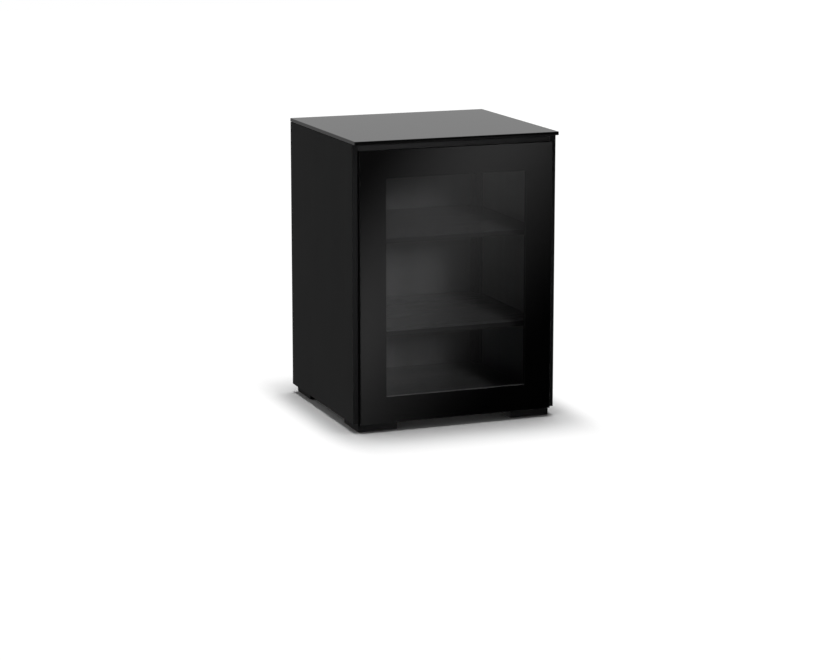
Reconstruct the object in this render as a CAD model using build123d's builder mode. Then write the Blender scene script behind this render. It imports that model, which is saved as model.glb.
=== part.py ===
from build123d import *
import os

# Media cabinet: a board carcass with rear corner posts, two shelves, a black glass top,
# four block feet and one tinted glass door hung on butt hinges at the right.
# +Z is up and the front faces -Y. The origin is on the floor, under the middle of the glass top.

# Overall sizes
body_width = 600.0
body_depth = 525.0
body_height = 774.0
foot_height = 25.0

# Boards
side_thickness = 18.0
top_board = 18.0
base_board = 25.0
back_board = 6.0
back_recess = 1.0
shelf_board = 15.0
board_edge = 0.6

# Glass top and the soft discs under it
top_glass = 10.0
top_front_overhang = 24.0
top_back_overhang = 4.0
top_glass_corner = 4.0
top_glass_edge = 1.2
disc_thickness = 1.0
disc_radius = 7.0
disc_inset = 45.0

# Feet
foot_size = 115.0
foot_side_inset = 15.0
foot_end_inset = 1.0
foot_edge = 1.5
pad_thickness = 1.0
pad_radius = 45.0
foot_screw_spread = 35.0
foot_screw_grip = 14.0
foot_bore_depth = 14.0

# Rear corner posts
post_width = 22.0
post_depth = 42.0
groove_width = 5.0
groove_depth = 3.0

# Shelves: height of each upper face above the underside of the carcass
shelf_heights = {"shelf_lower": 240.0, "shelf_upper": 502.0}
shelf_setback = 60.0
shelf_gap = 1.0
pin_radius = 2.5
pin_hole_depth = 10.0
pin_reach = 9.0
pin_plate = 1.5
pin_pitch = 32.0
pin_steps = 2
pin_front_inset = 37.0
pin_drop = 3.0
pin_plate_half = 5.0
pin_plate_drop = 6.0
pin_tongue_half = 4.0

# Door
door_gap = 1.5
door_overlap = 1.0
door_frame = 12.0
door_glass_sheet = 4.0
door_glass_corner = 1.5
stile_width = 76.0
rail_top_height = 77.0
rail_bottom_height = 73.0
stop_radius = 4.0
stop_left_inset = 43.0
stop_right_inset = 113.0

# Butt hinges
hinge_height = 60.0
hinge_inset = 100.0
barrel_radius = 3.0
barrel_room = 0.4
hinge_pin_radius = 1.5
running_gap = 0.05
knuckle_gap = 0.3
leaf_thickness = 1.6
leaf_width = 25.0
pin_cap_radius = 2.6
pin_cap = 1.5
axis_inboard = 0.2
axis_in_door = 0.5
leaf_screw_inset = 16.0
leaf_screw_spread = 20.0
cabinet_leaf_screw_length = 11.0
door_leaf_screw_length = 8.5

# Push latch
latch_width = 18.0
latch_height = 15.0
latch_length = 60.0
latch_plate = 3.0
latch_ear = 9.0
latch_setback = 4.0
latch_inset = 42.0
plunger_radius = 4.0
plunger_room = 0.08
plunger_length = 42.0
plunger_travel = 3.0
magnet_length = 3.0
magnet_radius = 3.5
strike_thickness = 1.2
strike_width = 34.0
strike_height = 14.0
strike_air = 0.2
strike_screw_inset = 5.0
strike_screw_length = 8.0
latch_screw_bite = 10.0

# Joinery
cam_radius = 7.5
cam_depth = 12.0
cam_axis_depth = 8.0
cam_inset = 24.0
cam_end_inset = 150.0
cam_bolt_radius = 3.0
cam_bolt_seat = 3.0
side_hole_depth = 12.0
dowel_radius = 4.0
dowel_length = 30.0
dowel_end_inset = 105.0
cam_slot_half = 4.5
cam_slot_width = 1.6
cam_slot_depth = 2.0
post_screw_recess = 8.0
post_screw_end_inset = 60.0
back_screw_side_inset = 85.0
back_screw_end_inset = 115.0
shank_room = 0.1
head_room = 0.4
tip_room = 0.5

# Cable outlets in the back board
outlet_radius = 30.0
outlet_x = -150.0
outlet_rise = 60.0
grommet_wall = 3.0
grommet_flange = 6.0
grommet_lip = 2.0

# Screws: head radius, head height, shank radius
board_screw = (3.6, 2.2, 1.8)
hinge_screw = (3.0, 0.9, 1.5)
foot_screw = (4.3, 3.0, 2.2)

# Levels and faces that follow from the sizes above
half_width = body_width / 2
inner_half = half_width - side_thickness
top_depth = body_depth + top_front_overhang + top_back_overhang
front = top_front_overhang - top_depth / 2
rear = front + body_depth
base = foot_height
crown = base + body_height
floor_level = base + base_board
ceiling = crown - top_board
back_face = rear - back_recess - back_board
post_front = back_face - post_depth
post_face = inner_half - post_width

door_half = inner_half + door_overlap
door_top = ceiling + door_overlap
door_back = front - door_gap
door_glass_back = door_back - door_frame
door_front = door_glass_back - door_glass_sheet
window_half = door_half - stile_width
hinge_x = door_half - axis_inboard
hinge_y = door_back - axis_in_door
hinge_levels = (base + hinge_inset, door_top - hinge_inset)

hinge_screw_reach = barrel_radius + leaf_screw_inset
hinge_screw_rows = (-leaf_screw_spread, 0.0, leaf_screw_spread)

os.makedirs("parts", exist_ok=True)


def save(part, name):
    part.label = name
    export_step(part, f"parts/{name}.step")


def slab(x_span, y_span, z_span, mode=Mode.ADD):
    """Add or cut a straight block between three pairs of levels."""
    with BuildSketch(Plane.XY.offset(z_span[0])) as outline:
        with Locations(((x_span[0] + x_span[1]) / 2, (y_span[0] + y_span[1]) / 2)):
            Rectangle(x_span[1] - x_span[0], y_span[1] - y_span[0])
    extrude(outline.sketch, amount=z_span[1] - z_span[0], mode=mode)


def rod(start, along, radius, length, mode=Mode.ADD):
    """Add or cut a round bar from a point along a direction."""
    with BuildSketch(Plane(origin=start, z_dir=along)) as section:
        Circle(radius)
    extrude(section.sketch, amount=length, mode=mode)


def screw(seat, along, size, length):
    """A pan head screw whose head rests on the seat and whose shank runs along a direction."""
    head_radius, head_height, shank_radius = size
    back = Vector(*along) * -head_height
    top = Vector(*seat) + back
    rod(seat, along, shank_radius, length)
    rod(tuple(top), along, head_radius, head_height)
    slot_depth = head_height * 0.6
    for turn in (0, 90):
        with BuildSketch(Plane(origin=tuple(top), z_dir=along)) as slot:
            Rectangle(head_radius * 1.2, head_radius * 0.3, rotation=turn)
        extrude(slot.sketch, amount=slot_depth, mode=Mode.SUBTRACT)


def pilot(seat, along, size, length):
    """The hole that a screw's shank runs in."""
    rod(seat, along, size[2] + shank_room, length + tip_room, mode=Mode.SUBTRACT)


def mirrored(side):
    """Direction from the middle of the cabinet towards one side."""
    return (side, 0, 0)


# Fastener positions

foot_centres = {}
for side, side_name in ((-1, "left"), (1, "right")):
    foot_x = side * (half_width - foot_side_inset - foot_size / 2)
    foot_centres[f"foot_front_{side_name}"] = (foot_x, front + foot_end_inset + foot_size / 2)
    foot_centres[f"foot_rear_{side_name}"] = (foot_x, rear - foot_end_inset - foot_size / 2)

foot_screw_seats = []
for foot_x, foot_y in foot_centres.values():
    for step in (-foot_screw_spread, foot_screw_spread):
        foot_screw_seats.append((foot_x, foot_y + step, foot_bore_depth))
foot_screw_length = foot_height - foot_bore_depth + foot_screw_grip

cam_rows = (front + cam_end_inset, rear - cam_end_inset)
dowel_rows = (front + dowel_end_inset, rear - dowel_end_inset)
cam_levels = {"top": ceiling + cam_axis_depth, "base": base + cam_axis_depth}
dowel_levels = {"top": ceiling + top_board / 2, "base": base + base_board / 2}
cam_slots = ((cam_slot_half, cam_slot_width / 2), (cam_slot_width / 2, cam_slot_half))
cam_bolt_inner = inner_half - cam_inset + cam_bolt_seat

post_screw_seat = post_face + post_screw_recess
post_screw_length = inner_half - post_screw_seat + side_hole_depth
post_middle = (floor_level + ceiling) / 2
post_screw_levels = [floor_level + post_screw_end_inset, post_middle, ceiling - post_screw_end_inset]
post_screw_y = back_face - post_depth / 2

back_screw_y = back_face + back_board
back_screw_length = back_board + side_hole_depth
back_screw_seats = []
back_screw_levels = [floor_level + back_screw_end_inset, post_middle + pin_pitch]
back_screw_levels.append(ceiling - back_screw_end_inset)
for x in (-inner_half + back_screw_side_inset, 0.0, inner_half - back_screw_side_inset):
    back_screw_seats.append((x, back_screw_y, crown - top_board / 2))
    back_screw_seats.append((x, back_screw_y, base + base_board / 2))
for side in (-1, 1):
    for level in back_screw_levels:
        back_screw_seats.append((side * (inner_half - post_width / 2), back_screw_y, level))

outlet_levels = [floor_level + outlet_rise]
for height in shelf_heights.values():
    outlet_levels.append(base + height + outlet_rise)

pin_front_y = front + shelf_setback + pin_front_inset
pin_rear_y = back_face - post_depth / 2
pin_levels = {}
for name, height in shelf_heights.items():
    pin_levels[name] = base + height - shelf_board - pin_drop
pin_hole_levels = []
for level in pin_levels.values():
    for step in range(-pin_steps, pin_steps + 1):
        pin_hole_levels.append(level + step * pin_pitch)

latch_x = -(inner_half - latch_inset)
latch_front = front + latch_setback
latch_axis_z = ceiling - latch_plate - latch_height / 2
latch_screw_seats = []
for step in (-1, 1):
    ear_x = latch_x + step * (latch_width / 2 + latch_ear / 2)
    latch_screw_seats.append((ear_x, latch_front + latch_length / 2, ceiling - latch_plate))
latch_screw_length = latch_plate + latch_screw_bite
strike_face = door_back + strike_thickness
plunger_tip = strike_face + strike_air
strike_screw_seats = []
for step in (-1, 1):
    strike_x = latch_x + step * (strike_width / 2 - strike_screw_inset)
    strike_screw_seats.append((strike_x, strike_face - hinge_screw[1], latch_axis_z))

leaf_screw_seats = []
door_leaf_screw_seats = []
for level in hinge_levels:
    for row in hinge_screw_rows:
        cabinet_seat_x = inner_half + hinge_screw[1]
        leaf_screw_seats.append((cabinet_seat_x, hinge_y + hinge_screw_reach, level + row))
        door_seat_y = door_back - hinge_screw[1]
        door_leaf_screw_seats.append((hinge_x - hinge_screw_reach, door_seat_y, level + row))


# Side panels

def side_panel(side):
    """One plain side board with its hidden joinery holes."""
    inner = side * inner_half
    outer = side * half_width
    outward = mirrored(side)
    slab((min(inner, outer), max(inner, outer)), (front, rear), (base, crown))
    upright = edges().filter_by(Axis.Z).sort_by(Axis.X)
    chamfer(upright[-2:] if side > 0 else upright[:2], length=board_edge)
    for row in cam_rows:
        for level in cam_levels.values():
            rod((inner, row, level), outward, cam_bolt_radius + shank_room, side_hole_depth,
                Mode.SUBTRACT)
    for row in dowel_rows:
        for level in dowel_levels.values():
            rod((inner, row, level), outward, dowel_radius + shank_room, side_hole_depth, Mode.SUBTRACT)
    for level in pin_hole_levels:
        rod((inner, pin_front_y, level), outward, pin_radius + shank_room, pin_hole_depth, Mode.SUBTRACT)
    for level in post_screw_levels:
        pilot((inner, post_screw_y, level), outward, board_screw, side_hole_depth)


with BuildPart() as side_left:
    side_panel(-1)
save(side_left.part, "side_left")

with BuildPart() as side_right:
    side_panel(1)
    for level in hinge_levels:
        low = level - hinge_height / 2
        slab((inner_half, inner_half + leaf_thickness), (front, hinge_y + barrel_radius + leaf_width),
             (low, low + hinge_height), Mode.SUBTRACT)
        rod((hinge_x, hinge_y, low - pin_cap - barrel_room), (0, 0, 1), barrel_radius + barrel_room,
            hinge_height + 2 * (pin_cap + barrel_room), Mode.SUBTRACT)
    for seat in leaf_screw_seats:
        pilot(seat, (1, 0, 0), hinge_screw, cabinet_leaf_screw_length)
save(side_right.part, "side_right")


# Top and base boards

def cross_board(low, high, cam_face, cam_up, level_name):
    """A board between the sides, with cam pockets on its hidden face."""
    slab((-inner_half, inner_half), (front, back_face), (low, high))
    for side in (-1, 1):
        end = side * inner_half
        for row in cam_rows:
            pocket_x = side * (inner_half - cam_inset)
            rod((pocket_x, row, cam_face), (0, 0, cam_up), cam_radius + shank_room, cam_depth,
                Mode.SUBTRACT)
            rod((end, row, cam_levels[level_name]), (-side, 0, 0), cam_bolt_radius + shank_room,
                cam_inset - cam_bolt_seat, Mode.SUBTRACT)
        for row in dowel_rows:
            rod((end, row, dowel_levels[level_name]), (-side, 0, 0), dowel_radius + shank_room,
                dowel_length - side_hole_depth, Mode.SUBTRACT)


with BuildPart() as top_panel:
    cross_board(ceiling, crown, ceiling, 1, "top")
    for seat in back_screw_seats:
        if seat[2] > ceiling:
            pilot(seat, (0, -1, 0), board_screw, back_screw_length)
    for seat in latch_screw_seats:
        pilot(seat, (0, 0, 1), board_screw, latch_screw_length)
save(top_panel.part, "top_panel")

with BuildPart() as base_panel:
    cross_board(base, floor_level, base, 1, "base")
    for seat in back_screw_seats:
        if seat[2] < floor_level:
            pilot(seat, (0, -1, 0), board_screw, back_screw_length)
    for seat in foot_screw_seats:
        pilot(seat, (0, 0, 1), foot_screw, foot_screw_length)
save(base_panel.part, "base_panel")


# Back board with its cable outlets

with BuildPart() as back_panel:
    slab((-inner_half + back_recess, inner_half - back_recess), (back_face, back_face + back_board),
         (base + back_recess, crown - back_recess))
    for level in outlet_levels:
        rod((outlet_x, back_face, level), (0, 1, 0), outlet_radius, back_board, Mode.SUBTRACT)
    for seat in back_screw_seats:
        pilot(seat, (0, -1, 0), board_screw, back_board)
save(back_panel.part, "back_panel")

with BuildPart() as cable_grommets:
    for level in outlet_levels:
        rear_face = back_face + back_board
        rod((outlet_x, rear_face, level), (0, 1, 0), outlet_radius + grommet_flange, grommet_lip)
        rod((outlet_x, back_face, level), (0, 1, 0), outlet_radius - shank_room, back_board)
    for level in outlet_levels:
        rod((outlet_x, back_face, level), (0, 1, 0), outlet_radius - grommet_wall,
            back_board + grommet_lip, Mode.SUBTRACT)
save(cable_grommets.part, "cable_grommets")


# Rear corner posts

def corner_post(side):
    """A grooved upright in a rear corner, standing between the base and the top board."""
    inner = side * post_face
    outer = side * inner_half
    slab((min(inner, outer), max(inner, outer)), (post_front, back_face), (floor_level, ceiling))
    groove_x = side * (post_face + post_width / 2)
    slab((groove_x - groove_width / 2, groove_x + groove_width / 2),
         (post_front, post_front + groove_depth), (floor_level, ceiling), Mode.SUBTRACT)
    for level in pin_hole_levels:
        rod((inner, pin_rear_y, level), mirrored(side), pin_radius + shank_room, pin_hole_depth,
            Mode.SUBTRACT)
    for level in post_screw_levels:
        rod((inner, post_screw_y, level), mirrored(side), board_screw[0] + head_room, post_screw_recess,
            Mode.SUBTRACT)
        pilot((side * post_screw_seat, post_screw_y, level), mirrored(side), board_screw,
              post_screw_length)
    for seat in back_screw_seats:
        if seat[0] * side > post_face:
            pilot(seat, (0, -1, 0), board_screw, back_screw_length)


with BuildPart() as post_left:
    corner_post(-1)
save(post_left.part, "post_left")

with BuildPart() as post_right:
    corner_post(1)
save(post_right.part, "post_right")


# Shelves, notched round the posts

for name, height in shelf_heights.items():
    with BuildPart() as shelf:
        shelf_low = base + height - shelf_board
        shelf_half = inner_half - shelf_gap
        slab((-shelf_half, shelf_half), (front + shelf_setback, back_face - 2 * shelf_gap),
             (shelf_low, base + height))
        for side in (-1, 1):
            notch = sorted((side * (post_face - shelf_gap), side * inner_half))
            slab(notch, (post_front - shelf_gap, back_face), (shelf_low, base + height), Mode.SUBTRACT)
        front_edges = shelf.edges().filter_by(Axis.X).sort_by(Axis.Y)[:2]
        chamfer(front_edges, length=board_edge)
    save(shelf.part, name)

with BuildPart() as shelf_pins:
    for level in pin_levels.values():
        for side in (-1, 1):
            for wall, row in ((inner_half, pin_front_y), (post_face, pin_rear_y)):
                face = side * wall
                rod((face, row, level), mirrored(side), pin_radius, pin_hole_depth)
                plate = sorted((face, face - side * pin_plate))
                slab(plate, (row - pin_plate_half, row + pin_plate_half),
                     (level - pin_plate_drop, level + pin_drop))
                tongue = sorted((face, face - side * pin_reach))
                slab(tongue, (row - pin_tongue_half, row + pin_tongue_half),
                     (level, level + pin_drop))
save(shelf_pins.part, "shelf_pins")


# Glass top and its discs

with BuildPart() as glass_top:
    with BuildSketch(Plane.XY.offset(crown + disc_thickness)):
        RectangleRounded(body_width, top_depth, top_glass_corner)
    extrude(amount=top_glass)
    rims = glass_top.faces().filter_by(Axis.Z).edges()
    chamfer(rims, length=top_glass_edge)
save(glass_top.part, "glass_top")

with BuildPart() as glass_discs:
    for x in (-inner_half + disc_inset, inner_half - disc_inset):
        for y in (front + disc_inset, (front + back_face) / 2, back_face - disc_inset):
            rod((x, y, crown), (0, 0, 1), disc_radius, disc_thickness)
save(glass_discs.part, "glass_discs")


# Feet

for name, centre in foot_centres.items():
    with BuildPart() as foot:
        with BuildSketch(Plane.XY.offset(pad_thickness)):
            with Locations(centre):
                Rectangle(foot_size, foot_size)
        extrude(amount=foot_height - pad_thickness)
        chamfer(foot.faces().sort_by(Axis.Z)[0].edges(), length=foot_edge)
        for seat in foot_screw_seats:
            if abs(seat[0] - centre[0]) < foot_size / 2 and abs(seat[1] - centre[1]) < foot_size / 2:
                bore = foot_screw[0] + head_room
                rod((seat[0], seat[1], pad_thickness), (0, 0, 1), bore, foot_bore_depth - pad_thickness,
                    Mode.SUBTRACT)
                pilot(seat, (0, 0, 1), foot_screw, foot_screw_length)
    save(foot.part, name)

with BuildPart() as foot_pads:
    for x, y in foot_centres.values():
        rod((x, y, 0), (0, 0, 1), pad_radius, pad_thickness)
save(foot_pads.part, "foot_pads")

with BuildPart() as foot_screws:
    for seat in foot_screw_seats:
        screw(seat, (0, 0, 1), foot_screw, foot_screw_length)
save(foot_screws.part, "foot_screws")


# Cam fittings and dowels

with BuildPart() as cam_locks:
    for face, level_name in ((ceiling, "top"), (base, "base")):
        for side in (-1, 1):
            for row in cam_rows:
                x = side * (inner_half - cam_inset)
                rod((x, row, face), (0, 0, 1), cam_radius, cam_depth)
                rod((x + side * cam_bolt_seat, row, cam_levels[level_name]), mirrored(side),
                    cam_bolt_radius + shank_room, cam_radius, Mode.SUBTRACT)
                for half_x, half_y in cam_slots:
                    slab((x - half_x, x + half_x), (row - half_y, row + half_y),
                         (face, face + cam_slot_depth), Mode.SUBTRACT)
save(cam_locks.part, "cam_locks")

with BuildPart() as cam_bolts:
    for level in cam_levels.values():
        for side in (-1, 1):
            for row in cam_rows:
                rod((side * cam_bolt_inner, row, level), mirrored(side), cam_bolt_radius,
                    inner_half + side_hole_depth - cam_bolt_inner)
save(cam_bolts.part, "cam_bolts")

with BuildPart() as dowels:
    for level in dowel_levels.values():
        for side in (-1, 1):
            for row in dowel_rows:
                start = side * (inner_half + side_hole_depth - dowel_length)
                rod((start, row, level), mirrored(side), dowel_radius, dowel_length)
save(dowels.part, "dowels")

with BuildPart() as post_screws:
    for side in (-1, 1):
        for level in post_screw_levels:
            screw((side * post_screw_seat, post_screw_y, level), mirrored(side), board_screw,
                  post_screw_length)
save(post_screws.part, "post_screws")

with BuildPart() as back_screws:
    for seat in back_screw_seats:
        screw(seat, (0, -1, 0), board_screw, back_screw_length)
save(back_screws.part, "back_screws")


# Door frame and glass

with BuildPart() as door_stile_left:
    slab((-door_half, -window_half), (door_glass_back, door_back), (base, door_top))
    for seat in strike_screw_seats:
        pilot(seat, (0, -1, 0), hinge_screw, strike_screw_length)
save(door_stile_left.part, "door_stile_left")

with BuildPart() as door_stile_right:
    slab((window_half, door_half), (door_glass_back, door_back), (base, door_top))
    for level in hinge_levels:
        low = level - hinge_height / 2
        slab((hinge_x - barrel_radius - leaf_width, door_half), (door_back - leaf_thickness, door_back),
             (low, low + hinge_height), Mode.SUBTRACT)
        rod((hinge_x, hinge_y, low - pin_cap - barrel_room), (0, 0, 1), barrel_radius + barrel_room,
            hinge_height + 2 * (pin_cap + barrel_room), Mode.SUBTRACT)
    for seat in door_leaf_screw_seats:
        pilot(seat, (0, -1, 0), hinge_screw, door_leaf_screw_length)
save(door_stile_right.part, "door_stile_right")

with BuildPart() as door_rail_top:
    slab((-window_half, window_half), (door_glass_back, door_back), (door_top - rail_top_height,
         door_top))
save(door_rail_top.part, "door_rail_top")

with BuildPart() as door_rail_bottom:
    slab((-window_half, window_half), (door_glass_back, door_back), (base, base + rail_bottom_height))
save(door_rail_bottom.part, "door_rail_bottom")

with BuildPart() as door_glass:
    with BuildSketch(Plane.XZ.offset(-door_glass_back)):
        with Locations((0, (base + door_top) / 2)):
            RectangleRounded(2 * door_half, door_top - base, door_glass_corner)
    extrude(amount=door_glass_sheet)
    chamfer(door_glass.faces().sort_by(Axis.Y)[0].edges(), length=board_edge)
save(door_glass.part, "door_glass")

with BuildPart() as door_stops:
    for x in (-door_half + stop_left_inset, 0.0, door_half - stop_right_inset):
        rod((x, door_back, base + base_board / 2), (0, 1, 0), stop_radius, door_gap)
save(door_stops.part, "door_stops")


# Butt hinges: the cabinet leaf carries the outer knuckles, the door leaf the middle one

third = hinge_height / 3
cabinet_knuckles = ((-hinge_height / 2, -third / 2), (third / 2, hinge_height / 2))
door_knuckles = ((-third / 2 + knuckle_gap, third / 2 - knuckle_gap),)
leaf_start = barrel_radius + knuckle_gap


def knuckles(level, spans):
    """The barrel lengths of one leaf."""
    for low, high in spans:
        rod((hinge_x, hinge_y, level + low), (0, 0, 1), barrel_radius, high - low)


def pin_bore(level):
    """The hole for the hinge pin through a leaf's knuckles."""
    rod((hinge_x, hinge_y, level - hinge_height / 2), (0, 0, 1), hinge_pin_radius + running_gap,
        hinge_height, Mode.SUBTRACT)


with BuildPart() as hinge_leaves_cabinet:
    leaf_x = (inner_half, inner_half + leaf_thickness)
    for level in hinge_levels:
        slab(leaf_x, (hinge_y + leaf_start, hinge_y + barrel_radius + leaf_width),
             (level - hinge_height / 2, level + hinge_height / 2))
        knuckles(level, cabinet_knuckles)
        for low, high in cabinet_knuckles:
            slab(leaf_x, (hinge_y + hinge_pin_radius, hinge_y + leaf_start), (level + low, level + high))
    for level in hinge_levels:
        pin_bore(level)
    for seat in leaf_screw_seats:
        rod((inner_half, seat[1], seat[2]), (1, 0, 0), hinge_screw[0] + shank_room, hinge_screw[1],
            Mode.SUBTRACT)
        pilot(seat, (1, 0, 0), hinge_screw, cabinet_leaf_screw_length)
save(hinge_leaves_cabinet.part, "hinge_leaves_cabinet")

with BuildPart() as hinge_leaves_door:
    leaf_y = (door_back - leaf_thickness, door_back)
    for level in hinge_levels:
        slab((hinge_x - barrel_radius - leaf_width, hinge_x - leaf_start), leaf_y,
             (level - hinge_height / 2, level + hinge_height / 2))
        knuckles(level, door_knuckles)
        for low, high in door_knuckles:
            slab((hinge_x - leaf_start, hinge_x - hinge_pin_radius), leaf_y, (level + low, level + high))
    for level in hinge_levels:
        pin_bore(level)
    for seat in door_leaf_screw_seats:
        rod((seat[0], door_back, seat[2]), (0, -1, 0), hinge_screw[0] + shank_room, hinge_screw[1],
            Mode.SUBTRACT)
        pilot(seat, (0, -1, 0), hinge_screw, door_leaf_screw_length)
save(hinge_leaves_door.part, "hinge_leaves_door")

with BuildPart() as hinge_pins:
    for level in hinge_levels:
        rod((hinge_x, hinge_y, level - hinge_height / 2), (0, 0, 1), hinge_pin_radius, hinge_height)
        for cap_low in (level - hinge_height / 2 - pin_cap, level + hinge_height / 2):
            rod((hinge_x, hinge_y, cap_low), (0, 0, 1), pin_cap_radius, pin_cap)
save(hinge_pins.part, "hinge_pins")

with BuildPart() as hinge_screws_cabinet:
    for seat in leaf_screw_seats:
        screw(seat, (1, 0, 0), hinge_screw, cabinet_leaf_screw_length)
save(hinge_screws_cabinet.part, "hinge_screws_cabinet")

with BuildPart() as hinge_screws_door:
    for seat in door_leaf_screw_seats:
        screw(seat, (0, -1, 0), hinge_screw, door_leaf_screw_length)
save(hinge_screws_door.part, "hinge_screws_door")


# Push latch under the top board and its strike plate on the door

with BuildPart() as latch_housing:
    ear_span = latch_width / 2 + latch_ear
    slab((latch_x - ear_span, latch_x + ear_span), (latch_front, latch_front + latch_length),
         (ceiling - latch_plate, ceiling))
    slab((latch_x - latch_width / 2, latch_x + latch_width / 2), (latch_front,
         latch_front + latch_length),
         (ceiling - latch_plate - latch_height, ceiling - latch_plate))
    plunger_end = plunger_tip + magnet_length + plunger_length + plunger_travel + tip_room
    rod((latch_x, latch_front, latch_axis_z), (0, 1, 0), plunger_radius + plunger_room,
        plunger_end - latch_front, Mode.SUBTRACT)
    for seat in latch_screw_seats:
        pilot(seat, (0, 0, 1), board_screw, latch_screw_length)
save(latch_housing.part, "latch_housing")

with BuildPart() as latch_plunger:
    rod((latch_x, plunger_tip + magnet_length, latch_axis_z), (0, 1, 0), plunger_radius, plunger_length)
save(latch_plunger.part, "latch_plunger")

with BuildPart() as latch_magnet:
    rod((latch_x, plunger_tip, latch_axis_z), (0, 1, 0), magnet_radius, magnet_length)
save(latch_magnet.part, "latch_magnet")

with BuildPart() as latch_screws:
    for seat in latch_screw_seats:
        screw(seat, (0, 0, 1), board_screw, latch_screw_length)
save(latch_screws.part, "latch_screws")

with BuildPart() as strike_plate:
    slab((latch_x - strike_width / 2, latch_x + strike_width / 2), (door_back, strike_face),
         (latch_axis_z - strike_height / 2, latch_axis_z + strike_height / 2))
    for seat in strike_screw_seats:
        rod((seat[0], strike_face, seat[2]), (0, -1, 0), hinge_screw[0] + shank_room, hinge_screw[1],
            Mode.SUBTRACT)
        pilot(seat, (0, -1, 0), hinge_screw, strike_screw_length)
save(strike_plate.part, "strike_plate")

with BuildPart() as strike_screws:
    for seat in strike_screw_seats:
        screw(seat, (0, -1, 0), hinge_screw, strike_screw_length)
save(strike_screws.part, "strike_screws")
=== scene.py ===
import bmesh
import bpy
import math
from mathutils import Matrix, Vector


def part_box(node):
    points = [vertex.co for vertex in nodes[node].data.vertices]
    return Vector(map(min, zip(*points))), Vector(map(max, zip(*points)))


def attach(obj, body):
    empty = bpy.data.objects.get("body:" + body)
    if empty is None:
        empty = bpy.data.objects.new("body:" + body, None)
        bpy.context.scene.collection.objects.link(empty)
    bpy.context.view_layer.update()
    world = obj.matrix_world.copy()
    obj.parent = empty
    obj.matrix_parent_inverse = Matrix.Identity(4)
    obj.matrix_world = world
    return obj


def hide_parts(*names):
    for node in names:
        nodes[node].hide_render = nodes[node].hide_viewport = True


# Looks for the media cabinet: satin black boards, a black glass top and a smoked glass door.
# Metres, the front towards -Y, the floor at zero.

print("loading the packed cabinet")
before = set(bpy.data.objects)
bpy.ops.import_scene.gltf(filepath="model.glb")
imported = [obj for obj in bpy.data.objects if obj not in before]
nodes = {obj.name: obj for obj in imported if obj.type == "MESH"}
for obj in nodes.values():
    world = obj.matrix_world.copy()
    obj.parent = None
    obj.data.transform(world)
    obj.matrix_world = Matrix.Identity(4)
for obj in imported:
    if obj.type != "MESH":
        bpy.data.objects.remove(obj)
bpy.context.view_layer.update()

# the camera stands to the left of the cabinet and a little above it
cameraView = {
    "place": (-2.49268, -6.39591, 1.6929),
    "turn": 21.0748,        # degrees to the right of straight ahead
    "dip": 10.6111,         # degrees below the horizon
    "sensor": 36,
    "lens": 106.8325,
    "rise": -0.0788,        # lens shift, in frame widths
    "reach": (0.1, 60),     # nearest and furthest it sees
}


def setCamera(view):
    lens = bpy.data.cameras.new("camera")
    lens.sensor_width = view["sensor"]
    lens.lens = view["lens"]
    lens.shift_y = view["rise"]
    lens.clip_start, lens.clip_end = view["reach"]
    holder = bpy.data.objects.new("camera", lens)
    holder.location = view["place"]
    holder.rotation_euler = (math.radians(90 - view["dip"]), 0, -math.radians(view["turn"]))
    bpy.context.scene.collection.objects.link(holder)
    bpy.context.scene.camera = holder


setCamera(cameraView)
print("camera set")


def grey(level):
    return (level, level, level, 1)


def cool(level, blue):
    # a grey with a trace of blue
    return (level, level, blue, 1)


def addNode(tree, kind, **settings):
    node = tree.nodes.new(kind)
    for name, value in settings.items():
        setattr(node, name, value)
    return node


def wire(tree, source, target):
    # a number or colour is set on the socket itself, a node's output is joined to it
    if isinstance(source, (int, float, tuple)):
        target.default_value = source
    else:
        tree.links.new(source, target)


def sums(tree, operation, first, second=0.0):
    step = addNode(tree, "ShaderNodeMath", operation=operation)
    wire(tree, first, step.inputs[0])
    wire(tree, second, step.inputs[1])
    return step.outputs[0]


def ramp(tree, source, span, toLow=0.0, toHigh=1.0, kind="LINEAR"):
    # runs from toLow to toHigh while the source crosses the span
    step = addNode(tree, "ShaderNodeMapRange", interpolation_type=kind)
    for label, value in (("Value", source), ("From Min", span[0]), ("From Max", span[1]),
                         ("To Min", toLow), ("To Max", toHigh)):
        wire(tree, value, step.inputs[label])
    return step.outputs[0]


def blendNumber(tree, mask, under, over):
    mix = addNode(tree, "ShaderNodeMix", data_type="FLOAT")
    for index, value in ((0, mask), (2, under), (3, over)):
        wire(tree, value, mix.inputs[index])
    return mix.outputs[0]


def blendColour(tree, mask, under, over):
    mix = addNode(tree, "ShaderNodeMix", data_type="RGBA")
    for index, value in ((0, mask), (6, under), (7, over)):
        wire(tree, value, mix.inputs[index])
    return mix.outputs[2]


def splitPlace(tree, kind="Object"):
    # the shaded point, whole and as its three parts
    place = addNode(tree, "ShaderNodeTexCoord").outputs[kind]
    axes = addNode(tree, "ShaderNodeSeparateXYZ")
    wire(tree, place, axes.inputs[0])
    return place, axes.outputs


def startMaterial(name, kind="ShaderNodeBsdfPrincipled"):
    material = bpy.data.materials.new(name)
    material.use_nodes = True
    tree = material.node_tree
    tree.nodes.clear()
    output = addNode(tree, "ShaderNodeOutputMaterial")
    shader = addNode(tree, kind)
    wire(tree, shader.outputs[0], output.inputs[0])
    return material, tree, shader


def takeMesh(name, build):
    mesh = bpy.data.meshes.new(name)
    build.to_mesh(mesh)
    build.free()
    piece = bpy.data.objects.new(name, mesh)
    bpy.context.scene.collection.objects.link(piece)
    return piece


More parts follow.
